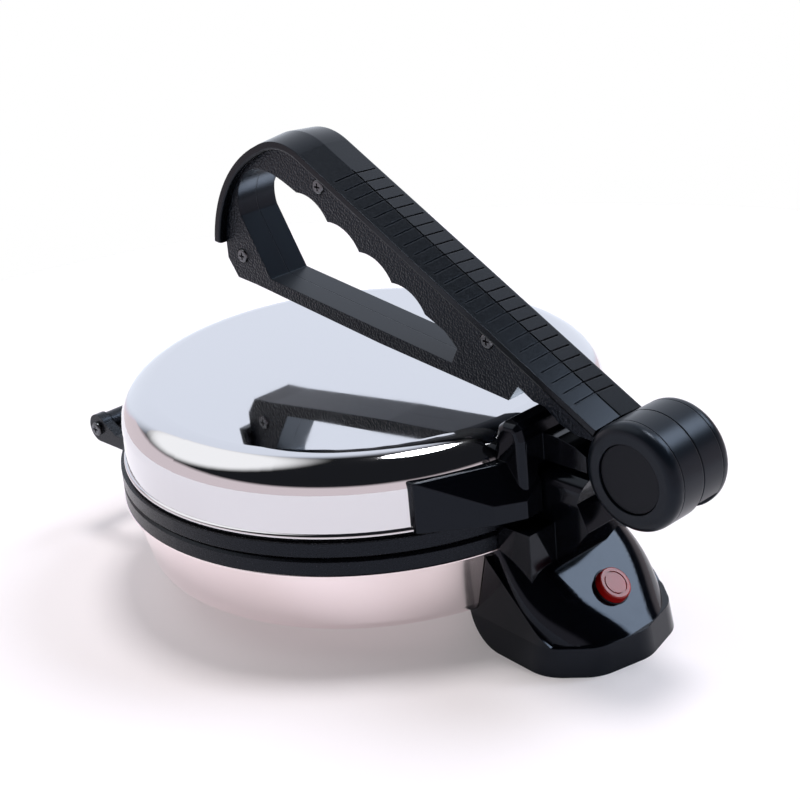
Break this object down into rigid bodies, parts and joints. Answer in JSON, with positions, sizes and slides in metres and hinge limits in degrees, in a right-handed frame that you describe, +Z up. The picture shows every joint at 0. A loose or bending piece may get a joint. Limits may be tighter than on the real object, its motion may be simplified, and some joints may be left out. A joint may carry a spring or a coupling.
{
  "type": "electric roti maker",
  "caption": "Countertop electric roti maker: polished steel clam with hot plates, black hinge leg with a lamp, and a spring-raised press lever with a grooved grip.",
  "frame": {"origin": "centre of the closed part's bounding box in plan, on the floor", "axes": "+Z up, -Y front (the user's side, the lever's nose), +Y rear (hinge and leg), +X to the right of the user, who stands in front and faces the rear"},
  "size_m": [0.247, 0.3546, 0.2158],
  "materials": {
    "polished_steel": "mirror-polished stainless sheet",
    "drawn_steel": "plain drawn sheet",
    "plate_alloy": "aluminium with dark non-stick coat",
    "element_steel": "heat-tinted tube",
    "gloss_black": "gloss moulded phenolic",
    "ring_black": "satin moulded phenolic",
    "grain_black": "grained moulded phenolic",
    "foot_rubber": "matt",
    "screw_steel": "zinc plated",
    "lamp_red": "clear red acrylic",
    "bezel_chrome": "plated",
    "thermostat_body": "ceramic",
    "spring_wire": "spring steel wire"
  },
  "bodies": {
    "base": {"base_shell": "polished_steel", "base_ring": "ring_black", "lower_plate": "plate_alloy", "lower_heater": "element_steel", "lower_shield": "drawn_steel", "lower_plate_screws": "screw_steel", "thermostat": "thermostat_body", "rear_leg": "gloss_black", "leg_cover": "ring_black", "cover_screws": "screw_steel", "lamp_bezel": "bezel_chrome", "lamp_lens": "lamp_red", "cord_gland": "ring_black", "front_feet": "foot_rubber", "shell_screws": "screw_steel", "front_bar": "ring_black", "front_bar_screws": "screw_steel", "hinge_pin": "screw_steel"},
    "lid": {"lid_shell": "polished_steel", "lid_ring": "ring_black", "upper_plate": "plate_alloy", "upper_heater": "element_steel", "upper_shield": "drawn_steel", "upper_plate_screws": "screw_steel", "lid_bracket": "gloss_black", "bracket_screws": "screw_steel"},
    "lever": {"lever_right": "grain_black", "lever_left": "grain_black", "lever_screws": "screw_steel", "grip_cap": "gloss_black", "hub_plug_right": "ring_black", "hub_plug_left": "ring_black", "return_spring": "spring_wire"}
  },
  "joints": [
    {"name": "lid_hinge", "type": "hinge", "parent": "base", "child": "lid", "pos_m": [0, 0.1527, 0.0975], "axis": [1, 0, 0], "range_deg": [-90, 0]},
    {"name": "lever_press", "type": "hinge", "parent": "lid", "child": "lever", "pos_m": [0, 0.1527, 0.0975], "axis": [1, 0, 0], "range_deg": [0, 5.5], "stiffness_Nm_per_rad": 1.5, "springref_deg": -25.78}
  ]
}
